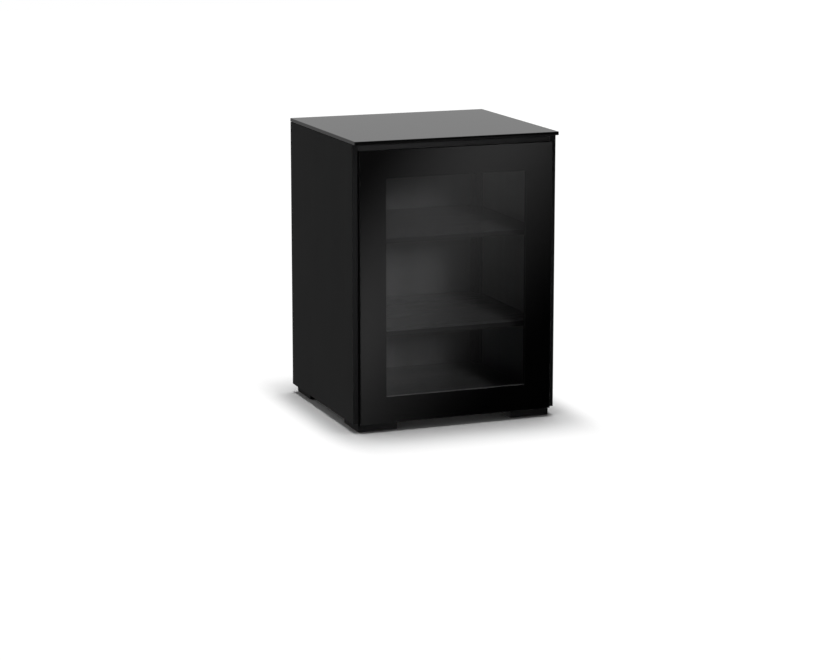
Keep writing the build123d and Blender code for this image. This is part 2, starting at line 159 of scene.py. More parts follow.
# a white room that shiny faces see dark in front and brighter behind
room = {
    "sky": 1.0,                 # what the camera sees behind the cabinet
    "ambient": 0.17,            # soft fill from above
    "horizon": (-0.2, 0.3),     # how high the fill starts and is full
    "backGloss": 0.45,          # what shiny faces mirror towards the back of the room
    "frontGloss": 0.004,        # and towards the front
    "depth": (-0.75, 0.45),     # where the front gives way to the back
}


def setRoom(values):
    world = bpy.data.worlds.new("room")
    world.use_nodes = True
    tree = world.node_tree
    tree.nodes.clear()
    output = addNode(tree, "ShaderNodeOutputWorld")
    shade = addNode(tree, "ShaderNodeBackground")
    wire(tree, grey(1), shade.inputs["Color"])
    path = addNode(tree, "ShaderNodeLightPath").outputs
    axes = splitPlace(tree, "Generated")[1]
    mirrored = ramp(tree, axes["Y"], values["depth"], values["frontGloss"], values["backGloss"],
                    "SMOOTHERSTEP")
    above = ramp(tree, axes["Z"], values["horizon"], 0.0, values["ambient"], "SMOOTHSTEP")
    fill = blendNumber(tree, path["Is Glossy Ray"], above, mirrored)
    wire(tree, blendNumber(tree, path["Is Camera Ray"], fill, values["sky"]), shade.inputs["Strength"])
    wire(tree, shade.outputs[0], output.inputs[0])
    bpy.context.scene.world = world


# spread is the beam's full angle in degrees; a lamp that sparesFloor leaves the floor's shadow deep
lamps = {
    "overhead": {"place": (0.03, 0.10, 4.0), "aim": (0.03, -0.02, 0), "size": 1.9, "power": 165,
                 "spread": 180, "sparesFloor": False},
    "leftFill": {"place": (-3.2, 0.6, 2.2), "aim": (0, 0, 0.5), "size": 1.6, "power": 6,
                 "spread": 180, "sparesFloor": False},
    # these two reach through the door glass, to the shelves and to the right side board
    "windowFill": {"place": (0.18, -3.4, 1.3), "aim": (-0.2, 0, 0.36), "size": 0.9, "power": 8.2,
                   "spread": 24, "sparesFloor": True},
    "wallFill": {"place": (-2.0, -3.0, 0.45), "aim": (0.28, 0, 0.8), "size": 0.8, "power": 1.45,
                 "spread": 30, "sparesFloor": True},
}


def hangLamp(name, values):
    lamp = bpy.data.lights.new(name, "AREA")
    lamp.shape = "DISK"
    lamp.size = values["size"]
    lamp.energy = values["power"]
    lamp.spread = math.radians(values["spread"])
    holder = bpy.data.objects.new(name, lamp)
    holder.location = values["place"]
    aim = Vector(values["aim"]) - Vector(values["place"])
    holder.rotation_euler = aim.to_track_quat("-Z", "Y").to_euler()
    holder.visible_glossy = False
    bpy.context.scene.collection.objects.link(holder)
    return holder


# a pale floor with a painted glow that rises away from the cabinet, so its far part is as white as the room;
# where the glow is held back near the footprint it paints a shadow round the cabinet
floorValues = {
    "half": 14.0,
    "squares": 8,
    "shade": 0.9,
    "rough": 0.9,
    "stand": (0.3, 0.27),       # half the cabinet's footprint
    # the painted shadow round the cabinet is narrower beside it than in front
    "sideways": 2.7,            # it clears faster beside the cabinet than in front
    # the painted glow starts and is full at these distances from the footprint
    "lit": (0.04, 0.34),        # how far out it turns fully bright
    "glow": 1.05,
}


def layFloor(values):
    build = bmesh.new()
    squares = values["squares"]
    bmesh.ops.create_grid(build, x_segments=squares, y_segments=squares, size=values["half"])
    floor = takeMesh("floor", build)
    material, tree, shader = startMaterial("paleFloorPaintedGlow")
    wire(tree, values["rough"], shader.inputs["Roughness"])
    wire(tree, 0.0, shader.inputs["Specular IOR Level"])
    wire(tree, grey(1), shader.inputs["Emission Color"])
    axes = splitPlace(tree)[1]
    # the distance from the footprint, counted more strongly sideways, which shapes the painted shadow
    clear = []
    for axis, half, weight in zip("XY", values["stand"], (values["sideways"], 1.0)):
        past = sums(tree, "SUBTRACT", sums(tree, "ABSOLUTE", axes[axis]), half)
        past = sums(tree, "MULTIPLY", sums(tree, "MAXIMUM", past, 0.0), weight)
        clear.append(sums(tree, "MULTIPLY", past, past))
    away = sums(tree, "SQRT", sums(tree, "ADD", *clear))
    rise = ramp(tree, away, values["lit"], kind="SMOOTHSTEP")
    # the painted glow: emission that grows with that distance while the lamp-lit base colour fades out
    wire(tree, sums(tree, "MULTIPLY", rise, values["glow"]), shader.inputs["Emission Strength"])
    wire(tree, blendColour(tree, rise, grey(values["shade"]), grey(0)), shader.inputs["Base Color"])
    floor.data.materials.append(material)
    floor.visible_glossy = False
    floor.visible_diffuse = False
    return floor


def spareFloor(floor, holders):
    spared = bpy.data.collections.new("sparedFloor")
    spared.objects.link(floor)
    spared.collection_objects[0].light_linking.link_state = "EXCLUDE"
    for holder in holders:
        holder.light_linking.receiver_collection = spared


# a glowing card in front, seen only as the soft slanting reflection in the door
frontCard = {
    "y": -3.0,
    "centre": (1.12, -0.17),        # across and up
    "half": (2.2, 2.2),
    "glow": 0.36,
    "topAt": (0.382, 0.394),        # where the glow stops above
    "leftFrom": (-1.08, 0.25),      # where it fades in from the left
    "slope": -1.166,                # how steeply the dark lower right side runs
    "dark": -2.163,                 # how far that dark side reaches in
    "most": 3.0,                    # it grows no brighter than this
    "cornerAt": (-0.29, 1.078),     # the dark upper left corner
    "cornerFade": (1.261, 1.915),   # distances over which that corner brightens
    "cornerShade": 0.028,
}


def hangFrontCard(values):
    build = bmesh.new()
    corners = [build.verts.new((values["centre"][0] + across * values["half"][0], values["y"],
                                values["centre"][1] + up * values["half"][1]))
               for across, up in ((-1, -1), (1, -1), (1, 1), (-1, 1))]
    build.faces.new(corners)
    card = takeMesh("frontCard", build)
    material, tree, glow = startMaterial("cardGlow", "ShaderNodeEmission")
    place, axes = splitPlace(tree)
    # brighter with the square of the distance from the dark side
    slanted = sums(tree, "ADD", sums(tree, "MULTIPLY", axes["X"], values["slope"]), axes["Z"])
    lift = sums(tree, "MAXIMUM", sums(tree, "SUBTRACT", slanted, values["dark"]), 0.0)
    strength = sums(tree, "MINIMUM", sums(tree, "MULTIPLY", lift, lift), values["most"])
    corner = addNode(tree, "ShaderNodeVectorMath", operation="DISTANCE")
    wire(tree, place, corner.inputs[0])
    wire(tree, (values["cornerAt"][0], values["y"], values["cornerAt"][1]), corner.inputs[1])
    shares = (
        ramp(tree, corner.outputs["Value"], values["cornerFade"], values["cornerShade"], 1.0, "SMOOTHSTEP"),
        ramp(tree, axes["Z"], values["topAt"], 1.0, 0.0, "SMOOTHSTEP"),
        ramp(tree, axes["X"], values["leftFrom"], kind="SMOOTHSTEP"),
        values["glow"],
    )
    for share in shares:
        strength = sums(tree, "MULTIPLY", strength, share)
    wire(tree, strength, glow.inputs["Strength"])
    card.data.materials.append(material)
    card.visible_camera = False
    card.visible_diffuse = False
    card.visible_shadow = False


setRoom(room)
holders = {name: hangLamp(name, values) for name, values in lamps.items()}
spareFloor(layFloor(floorValues), [holders[name] for name in lamps if lamps[name]["sparesFloor"]])
hangFrontCard(frontCard)
print("studio set")


def newGroup(name, takes, gives):
    group = bpy.data.node_groups.new(name, "ShaderNodeTree")
    for label, kind, value in takes:
        socket = group.interface.new_socket(name=label, in_out="INPUT", socket_type=kind)
        socket.default_value = value
    for label in gives:
        group.interface.new_socket(name=label, in_out="OUTPUT", socket_type="NodeSocketFloat")
    return group, addNode(group, "NodeGroupInput").outputs, addNode(group, "NodeGroupOutput").inputs


def scaledPlace(group, stretch):
    scaled = addNode(group, "ShaderNodeVectorMath", operation="MULTIPLY")
    wire(group, splitPlace(group)[0], scaled.inputs[0])
    wire(group, stretch, scaled.inputs[1])
    return scaled.outputs[0]


def cloudNoise(group, place, scale, detail, rough):
    cloud = addNode(group, "ShaderNodeTexNoise")
    for label, value in (("Vector", place), ("Scale", scale), ("Detail", detail), ("Roughness", rough)):
        wire(group, value, cloud.inputs[label])
    return cloud.outputs["Fac"]


# a noise is its scale, detail and roughness, or the last two where the scale comes from outside
grainMarks = {
    "stretch": (220.0, 220.0, 7.0),
    "fibre": (1.0, 5.0, 0.6),
    "figure": (0.11, 2.0, 0.5),
    "pore": (3.6, 1.0, 0.4),
    "fibreShare": 0.55,
    "figureShare": 0.45,
    "toneSpan": (0.3, 0.7),
    "poreSpan": (0.30, 0.42),
    "poreFade": (0.2, 0.8),     # pores are shallower where the fibre is dark
    "poreLeast": 0.6,
}


def grainGroup(values):
    # long fine fibres and short pores along the board
    group, takes, gives = newGroup("boardGrain", [("Stretch", "NodeSocketVector", values["stretch"])],
                                   ["Shade", "Height"])
    place = scaledPlace(group, takes["Stretch"])
    fibre = cloudNoise(group, place, *values["fibre"])
    figure = cloudNoise(group, place, *values["figure"])
    pore = ramp(group, cloudNoise(group, place, *values["pore"]), values["poreSpan"])
    shade = sums(group, "ADD", sums(group, "MULTIPLY", fibre, values["fibreShare"]),
                 sums(group, "MULTIPLY", figure, values["figureShare"]))
    wire(group, ramp(group, shade, values["toneSpan"]), gives["Shade"])
    depth = ramp(group, fibre, values["poreFade"], values["poreLeast"], 1.0)
    wire(group, sums(group, "MULTIPLY", pore, depth), gives["Height"])
    return group


rubMarks = {
    "width": 0.0012,
    "breakup": 60.0,
    "samples": 4,
    "bend": (0.995, 0.80),      # how far the rounded normal leans where the rub starts and is full
    "patch": (2.0, 0.5),
    "patchSpan": (0.35, 0.65),
}


def rubGroup(values):
    # a soft mask along sharp edges, broken up where hands have not reached
    group, takes, gives = newGroup(
        "edgeRub", [("Width", "NodeSocketFloat", values["width"]),
                    ("Breakup", "NodeSocketFloat", values["breakup"])], ["Mask"])
    rounded = addNode(group, "ShaderNodeBevel", samples=values["samples"])
    wire(group, takes["Width"], rounded.inputs["Radius"])
    straight = addNode(group, "ShaderNodeNewGeometry")
    match = addNode(group, "ShaderNodeVectorMath", operation="DOT_PRODUCT")
    wire(group, rounded.outputs[0], match.inputs[0])
    wire(group, straight.outputs["Normal"], match.inputs[1])
    edge = ramp(group, match.outputs["Value"], values["bend"])
    patches = cloudNoise(group, splitPlace(group)[0], takes["Breakup"], *values["patch"])
    wire(group, sums(group, "MULTIPLY", edge, ramp(group, patches, values["patchSpan"])), gives["Mask"])
    return group


hazeMarks = {
    "scale": 6.0,
    "rough": (0.4, 0.5),
    "cloud": (4.0, 0.5),
    "cloudSpan": (0.3, 0.7),
    "speck": (900.0, 1.0, 0.3),
    "speckSpan": (0.68, 0.8),
}


def hazeGroup(values):
    # slow changes of sheen, with a little fine dust
    low, high = values["rough"]
    group, takes, gives = newGroup(
        "handledHaze", [("Scale", "NodeSocketFloat", values["scale"]), ("Low", "NodeSocketFloat", low),
                        ("High", "NodeSocketFloat", high)], ["Rough", "Dust"])
    place = splitPlace(group)[0]
    clouds = cloudNoise(group, place, takes["Scale"], *values["cloud"])
    wire(group, ramp(group, clouds, values["cloudSpan"], takes["Low"], takes["High"]), gives["Rough"])
    specks = cloudNoise(group, place, *values["speck"])
    wire(group, ramp(group, specks, values["speckSpan"]), gives["Dust"])
    return group


pebbleMarks = {"scale": 1400.0, "skin": (2.0, 0.5)}


def pebbleGroup(values):
    # the fine leathery skin of sprayed paint and moulded plastic
    group, takes, gives = newGroup("pebbleSkin", [("Scale", "NodeSocketFloat", values["scale"])],
                                   ["Height", "Shade"])
    place = splitPlace(group)[0]
    skin = cloudNoise(group, place, takes["Scale"], *values["skin"])
    cells = addNode(group, "ShaderNodeTexVoronoi", feature="SMOOTH_F1")
    wire(group, place, cells.inputs["Vector"])
    wire(group, takes["Scale"], cells.inputs["Scale"])
    wire(group, sums(group, "MULTIPLY", skin, cells.outputs["Distance"]), gives["Height"])
    wire(group, skin, gives["Shade"])
    return group


drawnMarks = {"stretch": (2600.0, 2600.0, 18.0), "line": (1.0, 2.0, 0.5), "toneSpan": (0.3, 0.7)}


def drawnGroup(values):
    # hair lines left by drawing, rolling or brushing metal
    group, takes, gives = newGroup("drawnLines", [("Stretch", "NodeSocketVector", values["stretch"])],
                                   ["Shade", "Height"])
    lines = cloudNoise(group, scaledPlace(group, takes["Stretch"]), *values["line"])
    wire(group, ramp(group, lines, values["toneSpan"]), gives["Shade"])
    wire(group, lines, gives["Height"])
    return group


effects = {
    "grain": grainGroup(grainMarks),
    "rub": rubGroup(rubMarks),
    "haze": hazeGroup(hazeMarks),
    "pebble": pebbleGroup(pebbleMarks),
    "drawn": drawnGroup(drawnMarks),
}
print("shared effects built")


def effect(tree, name, **values):
    node = addNode(tree, "ShaderNodeGroup")
    node.node_tree = effects[name]
    for label, value in values.items():
        node.inputs[label].default_value = value
    return node.outputs


def emboss(tree, shader, height, depth, strength):
    bump = addNode(tree, "ShaderNodeBump")
    wire(tree, depth, bump.inputs["Distance"])
    wire(tree, strength, bump.inputs["Strength"])
    wire(tree, height, bump.inputs["Height"])
    wire(tree, bump.outputs[0], shader.inputs["Normal"])


def boardFinish(name, look):
    material, tree, shader = startMaterial(name)
    grain = effect(tree, "grain", Stretch=look["stretch"])
    rub = effect(tree, "rub", Width=look["rubWidth"], Breakup=look["breakup"])
    haze = effect(tree, "haze", Scale=look["haze"], Low=look["rough"][0], High=look["rough"][1])
    stain = blendColour(tree, grain["Shade"], look["dark"], look["light"])
    if "lining" in look:
        # the inner faces carry a lighter lining than the outer ones
        across = sums(tree, "ABSOLUTE", splitPlace(tree)[1]["X"])
        inside = sums(tree, "LESS_THAN", across, look["liningTo"])
        stain = blendColour(tree, inside, stain, blendColour(tree, grain["Shade"], *look["lining"]))
    worn = blendColour(tree, sums(tree, "MULTIPLY", rub["Mask"], look["rub"]), stain, look["rubbed"])
    dusty = blendColour(tree, sums(tree, "MULTIPLY", haze["Dust"], look["dust"]), worn, look["rubbed"])
    wire(tree, dusty, shader.inputs["Base Color"])
    wire(tree, haze["Rough"], shader.inputs["Roughness"])
    wire(tree, look["gloss"], shader.inputs["Specular IOR Level"])
    emboss(tree, shader, grain["Height"], look["poreDepth"], look["poreStrength"])
    return material


# noise scales along the three axes; the small one is the way the grain runs
upright = (260.0, 260.0, 8.0)
crosswise = (8.0, 260.0, 260.0)

sideLook = {
    "dark": cool(0.0052, 0.0054), "light": cool(0.0085, 0.0088),
    "rubbed": cool(0.035, 0.036), "rub": 0.35, "rubWidth": 0.0012, "breakup": 45.0,
    "dust": 0.15, "haze": 5.0, "rough": (0.54, 0.56), "gloss": 0.068,
    "poreDepth": 0.00006, "poreStrength": 0.5, "stretch": upright,
}
boardLook = dict(sideLook, stretch=crosswise)
shelfLook = dict(boardLook, dark=cool(0.132, 0.133), light=cool(0.176, 0.178), gloss=0.6, rough=(0.2, 0.25))
backLook = dict(sideLook, dark=cool(0.064, 0.065), light=cool(0.086, 0.088), gloss=0.06, rough=(0.75, 0.85))
frameLook = dict(sideLook, dark=cool(0.002, 0.0021), light=cool(0.004, 0.0042), gloss=0.06, rough=(0.7, 0.8))
footLook = dict(boardLook, dark=cool(0.0026, 0.0027), light=cool(0.0042, 0.0043), gloss=0.035)
bandLook = dict(boardLook, dark=cool(0.0058, 0.0059), light=cool(0.0078, 0.008), gloss=0.03, dust=0.05)
shelfBandLook = dict(boardLook, dark=cool(0.011, 0.0112), light=cool(0.015, 0.0152), gloss=0.05, dust=0.05)
# the side boards' front edge bands are a darker copy of the side board: painted shade along those edges
# beside the door
sideBandShadeLook = dict(sideLook, dark=cool(0.0029, 0.003), light=cool(0.0042, 0.0043), gloss=0.02, dust=0.03)
beechLook = {
    "dark": (0.42, 0.27, 0.15, 1), "light": (0.6, 0.42, 0.26, 1),
    "rubbed": (0.65, 0.5, 0.33, 1), "rub": 0.3, "rubWidth": 0.0006, "breakup": 45.0,
    "dust": 0.0, "haze": 5.0, "rough": (0.6, 0.7), "gloss": 0.3,
    "poreDepth": 0.0001, "poreStrength": 0.5, "stretch": (30.0, 700.0, 700.0),
}
# the lining reaches a hair into the board, so it covers the eased edges
innerLining = {"tones": (grey(0.12), grey(0.155)), "into": 0.0003}
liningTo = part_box("side_right")[0].x + innerLining["into"]

sideBoard = boardFinish("sideBoardBlack", dict(sideLook, lining=innerLining["tones"], liningTo=liningTo))
crossBoard = boardFinish("crossBoardBlack", boardLook)
shelfBoard = boardFinish("shelfBoardBlack", shelfLook)
backBoard = boardFinish("backBoardCharcoal", backLook)
footBoard = boardFinish("footBlockBlack", footLook)
doorBoard = boardFinish("doorFrameBlack", frameLook)
bandBlack = boardFinish("edgeBandBlack", bandLook)
shelfBandBlack = boardFinish("shelfBandBlack", shelfBandLook)
sideBandPaintedShade = boardFinish("sideBandPaintedShade", sideBandShadeLook)
beechWood = boardFinish("beechDowel", beechLook)


def glassFinish(name, look):
    # a look with no stop is opaque; otherwise what a face does not stop goes straight through it
    material, tree, shader = startMaterial(name)
    haze = effect(tree, "haze", Scale=look["haze"], Low=look["rough"][0], High=look["rough"][1])
    wire(tree, blendColour(tree, haze["Dust"], look["body"], look["speck"]), shader.inputs["Base Color"])
    wire(tree, haze["Rough"], shader.inputs["Roughness"])
    if "stop" in look:
        stop = ramp(tree, haze["Dust"], (0.0, 1.0), look["stop"], look["speckStop"])
        wire(tree, stop, shader.inputs["Alpha"])
    wire(tree, look["ior"], shader.inputs["IOR"])
    wire(tree, look["gloss"], shader.inputs["Specular IOR Level"])
    return material


topGlassLook = {
    "body": cool(0.004, 0.0042), "speck": grey(0.02),
    "haze": 3.5, "rough": (0.03, 0.06), "gloss": 0.5, "ior": 1.5,
}
edgeGlassLook = dict(topGlassLook, body=grey(0.0012), speck=grey(0.002), rough=(0.03, 0.04), gloss=0.22)
doorGlassLook = {
    "body": cool(0.0006, 0.0007), "speck": grey(0.006),
    "haze": 4.0, "rough": (0.012, 0.02), "gloss": 1.0, "ior": 1.8,
    "stop": 0.36, "speckStop": 0.4,     # the share of light each face stops
}
blackGlass = glassFinish("blackGlass", topGlassLook)
groundEdge = glassFinish("groundGlassEdge", edgeGlassLook)
smoked = glassFinish("smokedGlass", doorGlassLook)

skinLook = {"scale": 2200.0, "strength": 0.4}


def skinFinish(name, dark, light, rough, gloss, depth):
    material, tree, shader = startMaterial(name)
    skin = effect(tree, "pebble", Scale=skinLook["scale"])
    wire(tree, blendColour(tree, skin["Shade"], grey(dark), grey(light)), shader.inputs["Base Color"])
    wire(tree, rough, shader.inputs["Roughness"])
    wire(tree, gloss, shader.inputs["Specular IOR Level"])
    emboss(tree, shader, skin["Height"], depth, skinLook["strength"])
    return material


enamel = skinFinish("borderEnamel", dark=0.0002, light=0.0004, rough=0.6, gloss=0.0, depth=0.000002)
plastic = skinFinish("mouldedPlastic", dark=0.008, light=0.014, rough=0.42, gloss=0.5, depth=0.00003)
felt = skinFinish("pressedFelt", dark=0.01, light=0.03, rough=0.95, gloss=0.1, depth=0.0003)
rubber = skinFinish("softRubber", dark=0.25, light=0.32, rough=0.35, gloss=0.5, depth=0.00001)
beadStrip = skinFinish("beadStripBlack", dark=0.004, light=0.007, rough=0.5, gloss=0.1, depth=0.00001)
# the bottom bead strip is painted pale grey: a painted highlight where light falls on the ledge
ledgeHighlightPaint = skinFinish("ledgeStripPaintedHighlight", dark=0.17, light=0.25, rough=0.5, gloss=0.3, depth=0.00001)


def metalFinish(name, look):
    material, tree, shader = startMaterial(name)
    lines = effect(tree, "drawn", Stretch=look["stretch"])
    rub = effect(tree, "rub", Width=look["rubWidth"], Breakup=look["breakup"])
    haze = effect(tree, "haze", Scale=look["haze"], Low=look["rough"][0], High=look["rough"][1])
    tone = blendColour(tree, lines["Shade"], look["dark"], look["light"])
    worn = blendColour(tree, sums(tree, "MULTIPLY", rub["Mask"], look["rub"]), tone, look["rubbed"])
    wire(tree, worn, shader.inputs["Base Color"])
    wire(tree, haze["Rough"], shader.inputs["Roughness"])
    wire(tree, look["metal"], shader.inputs["Metallic"])
    wire(tree, look["gloss"], shader.inputs["Specular IOR Level"])
    emboss(tree, shader, lines["Height"], look["depth"], look["strength"])
    return material


lengthwise = (2600.0, 2600.0, 18.0)
zincLook = {
    "dark": grey(0.42), "light": grey(0.55),
    "rubbed": grey(0.7), "rub": 0.5, "rubWidth": 0.0004, "breakup": 120.0,
    "haze": 30.0, "rough": (0.28, 0.4), "metal": 1.0, "gloss": 0.5,
    "depth": 0.00001, "strength": 0.35, "stretch": (1800.0, 1800.0, 900.0),
}
nickelLook = dict(zincLook, dark=(0.5, 0.48, 0.45, 1), light=(0.6, 0.58, 0.55, 1), rubbed=grey(0.75),
                  rough=(0.22, 0.32), stretch=lengthwise)
blackSteelLook = dict(zincLook, dark=grey(0.012), light=grey(0.02), rubbed=grey(0.25), rub=0.6,
                      rough=(0.3, 0.42), metal=0.6, stretch=(1500.0, 1500.0, 1500.0))
postLook = dict(zincLook, dark=grey(0.012), light=grey(0.016), rubbed=grey(0.022), rub=0.1, rubWidth=0.0006,
                rough=(0.5, 0.56), metal=0.0, gloss=0.08, depth=0.00002, stretch=lengthwise)
zinc = metalFinish("zincPlatedSteel", zincLook)
nickel = metalFinish("brushedNickel", nickelLook)
blackSteel = metalFinish("blackedSteel", blackSteelLook)
anodised = metalFinish("anodisedPost", postLook)
print("finishes mixed")

sideBoards = ("side_left", "side_right")
shelfBoards = ("shelf_lower", "shelf_upper", "base_panel")
frameBoards = ("door_stile_left", "door_stile_right", "door_rail_top", "door_rail_bottom")
feet = ("foot_front_left", "foot_front_right", "foot_rear_left", "foot_rear_right")
posts = ("post_left", "post_right")


def dress(material, *names):
    for name in names:
        node = nodes[name]
        node.data.materials.clear()
        node.data.materials.append(material)


dress(sideBoard, *sideBoards)
dress(crossBoard, "top_panel")
dress(shelfBoard, *shelfBoards)
dress(backBoard, "back_panel")
dress(footBoard, *feet)
dress(doorBoard, *frameBoards)
dress(anodised, *posts)
dress(zinc, "cam_bolts", "cam_locks", "strike_plate", "hinge_pins")
dress(nickel, "shelf_pins", "latch_magnet")
dress(blackSteel, "back_screws", "foot_screws", "post_screws", "latch_screws", "strike_screws",
      "hinge_screws_cabinet", "hinge_screws_door", "hinge_leaves_cabinet", "hinge_leaves_door")
dress(plastic, "latch_housing", "latch_plunger", "cable_grommets")
dress(beechWood, "dowels")
dress(felt, "foot_pads")
dress(rubber, "glass_discs", "door_stops")

# each width goes with its number of segments
easing = {
    "weld": 0.00001,
    "angle": 35,            # degrees; flatter edges stay as they are
    "boards": (0.0004, 2),
    "feet": (0.001, 3),
    "posts": (0.0003, 2),
}


def easeEdges(kind, *names):
    width, segments = easing[kind]
    for name in names:
        weld = nodes[name].modifiers.new("joinSeams", "WELD")
        weld.merge_threshold = easing["weld"]
        eased = nodes[name].modifiers.new("easedEdges", "BEVEL")
        eased.width = width
        eased.segments = segments
        eased.limit_method = "ANGLE"
        eased.angle_limit = math.radians(easing["angle"])
        eased.harden_normals = True
        eased.use_clamp_overlap = True


easeEdges("boards", "top_panel", *sideBoards, *shelfBoards, *frameBoards)
easeEdges("feet", *feet)
easeEdges("posts", *posts)


def roundedOutline(halfWide, halfTall, corner, steps):
    # points and outward directions round a rectangle with round corners, anticlockwise
    points = []
    for turn, (sideX, sideY) in enumerate(((1, 1), (-1, 1), (-1, -1), (1, -1))):
        for step in range(steps + 1):
            angle = math.radians(90 * turn + 90 * step / steps)
            out = (math.cos(angle), math.sin(angle))
            points.append(((sideX * (halfWide - corner) + corner * out[0],
                            sideY * (halfTall - corner) + corner * out[1]), out))
    return points


def joinRows(build, rows):
    # quads between neighbouring rings of points
    count = len(rows[0])
    for lower, upper in zip(rows, rows[1:]):
        for index in range(count):
            after = (index + 1) % count
            build.faces.new((lower[index], lower[after], upper[after], upper[index]))


def sheetRings(thickness, arris, steps):
    # how far in from the outline and how high each ring of a sheet's edge lies
    rings = []
    for step in range(steps + 1):
        angle = math.radians(90 * step / steps)
        rings.append((arris * (1 - math.sin(angle)), arris * (1 - math.cos(angle))))
    for inset, height in reversed(rings):
        rings.append((inset, thickness - height))
    return rings


def buildSheet(name, low, high, axis, values):
    # a sheet of glass between two corners, its edge ground flat with round arrises
    build = bmesh.new()
    middle = (low + high) / 2
    size = high - low
    halfTall, thickness = (size.y / 2, size.z) if axis == "Z" else (size.z / 2, size.y)
    rows = []
    for inset, height in sheetRings(thickness, values["arris"], values["arrisSteps"]):
        row = []
        for point, out in roundedOutline(size.x / 2, halfTall, values["corner"], values["cornerSteps"]):
            u, v = point[0] - inset * out[0], point[1] - inset * out[1]
            if axis == "Z":
                spot = (middle.x + u, middle.y + v, low.z + height)
            else:
                spot = (middle.x - u, low.y + height, middle.z + v)
            row.append(build.verts.new(spot))
        rows.append(row)
    joinRows(build, rows)
    build.faces.new(list(reversed(rows[0])))
    build.faces.new(rows[-1])
    bmesh.ops.recalc_face_normals(build, faces=build.faces)
    for face in build.faces:
        face.smooth = len(face.verts) == 4      # the two large faces have more corners and stay flat
    sheet = takeMesh(name, build)
    sheet.modifiers.new("flatFaces", "WEIGHTED_NORMAL").keep_sharp = True
    return sheet


topGlass = {"corner": 0.004, "cornerSteps": 8, "arris": 0.0014, "arrisSteps": 4, "groundBelow": 0.3}
glassTop = buildSheet("glassTop", *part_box("glass_top"), "Z", topGlass)
glassTop.data.materials.append(blackGlass)
glassTop.data.materials.append(groundEdge)
for face in glassTop.data.polygons:
    face.material_index = int(abs(face.normal.z) < topGlass["groundBelow"])     # the upright edge faces
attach(glassTop, "cabinet")
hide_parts("glass_top")

# backOff leaves room for the border behind the glass
doorSheet = {"corner": 0.0015, "cornerSteps": 5, "arris": 0.0006, "arrisSteps": 3, "backOff": 0.0003}
glassLow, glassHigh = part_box("door_glass")
sheetHigh = glassHigh - Vector((0, doorSheet["backOff"], 0))
doorGlass = buildSheet("doorGlass", glassLow, sheetHigh, "Y", doorSheet)
doorGlass.data.materials.append(smoked)
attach(doorGlass, "door")
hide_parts("door_glass")
print("glass cut")

# the opening of the door frame, across and up
holeLow = (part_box("door_stile_left")[1].x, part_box("door_rail_bottom")[1].z)
holeHigh = (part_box("door_stile_right")[0].x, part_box("door_rail_top")[0].z)

# off is the gap to the door frame behind it, inset how far it stays inside the sheet's edge
doorBorder = {"film": 0.00014, "off": 0.00008, "inset": 0.0008, "round": 0.002, "steps": 4}


def buildBorder(name, values):
    # the black border fired on to the back of the door glass, from the sheet's edge to the opening
    build = bmesh.new()
    inset = values["inset"]
    rear = glassHigh.y - values["off"]
    front = rear - values["film"]
    outer = ((glassLow.x + inset, glassLow.z + inset), (glassHigh.x - inset, glassHigh.z - inset))
    inner = (holeLow, holeHigh)
    rows = []
    for (low, high), y in ((outer, front), (outer, rear), (inner, rear), (inner, front)):
        halfWide, halfTall = (high[0] - low[0]) / 2, (high[1] - low[1]) / 2
        rows.append([build.verts.new((low[0] + halfWide + point[0], y, low[1] + halfTall + point[1]))
                     for point, out in roundedOutline(halfWide, halfTall, values["round"], values["steps"])])
    joinRows(build, rows + rows[:1])
    bmesh.ops.recalc_face_normals(build, faces=build.faces)
    return takeMesh(name, build)


border = buildBorder("doorGlassBorder", doorBorder)
border.data.materials.append(enamel)
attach(border, "door")


def addStrip(build, low, high):
    # a straight strip between two corners; gives back its edges
    corners = bmesh.ops.create_cube(build, size=1)["verts"]
    for vert in corners:
        vert.co = Vector([low[i] + (vert.co[i] + 0.5) * (high[i] - low[i]) for i in range(3)])
    return [edge for edge in build.edges if edge.verts[0] in corners]


def roundStrip(build, edges, reach, steps):
    bmesh.ops.bevel(build, geom=edges, offset=reach, segments=steps, profile=0.5, affect="EDGES",
                    clamp_overlap=True)


windowBead = {
    "thick": 0.0004,
    "setBack": 0.0006,      # from the frame's front and back faces
    "trim": 0.0002,         # gap between the upright and the level strips
    "round": 0.00014, "steps": 2,
    "same": 0.000001,       # points this near in depth lie on one face
    # the pale ledge is a painted highlight on the bottom strip
    "ledge": 1.01,          # the pale ledge's height, in strip thicknesses
}


def buildBead(name, values):
    # thin strips lining the four inner faces of the door frame
    build = bmesh.new()
    thick, clear = values["thick"], values["thick"] + values["trim"]
    stileLow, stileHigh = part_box("door_stile_left")
    front, rear = stileLow.y + values["setBack"], stileHigh.y - values["setBack"]
    (left, bottom), (right, top) = holeLow, holeHigh
    strips = (((left + clear, bottom), (right - clear, bottom + thick)),
              ((left + clear, top - thick), (right - clear, top)),
              ((left, bottom), (left + thick, top)), ((right - thick, bottom), (right, top)))
    for low, high in strips:
        edges = addStrip(build, (low[0], front, low[1]), (high[0], rear, high[1]))
        facing = [edge for edge in edges if abs(edge.verts[0].co.y - edge.verts[1].co.y) < values["same"]]
        roundStrip(build, facing, values["round"], values["steps"])
    return takeMesh(name, build)


bead = buildBead("windowBead", windowBead)
bead.data.materials.append(beadStrip)
bead.data.materials.append(ledgeHighlightPaint)
# the bottom strip takes the pale painted highlight
paintedHighlightTop = holeLow[1] + windowBead["thick"] * windowBead["ledge"]
for face in bead.data.polygons:
    face.material_index = int(face.center.z < paintedHighlightTop)
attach(bead, "door")
print("door border and beads fitted")


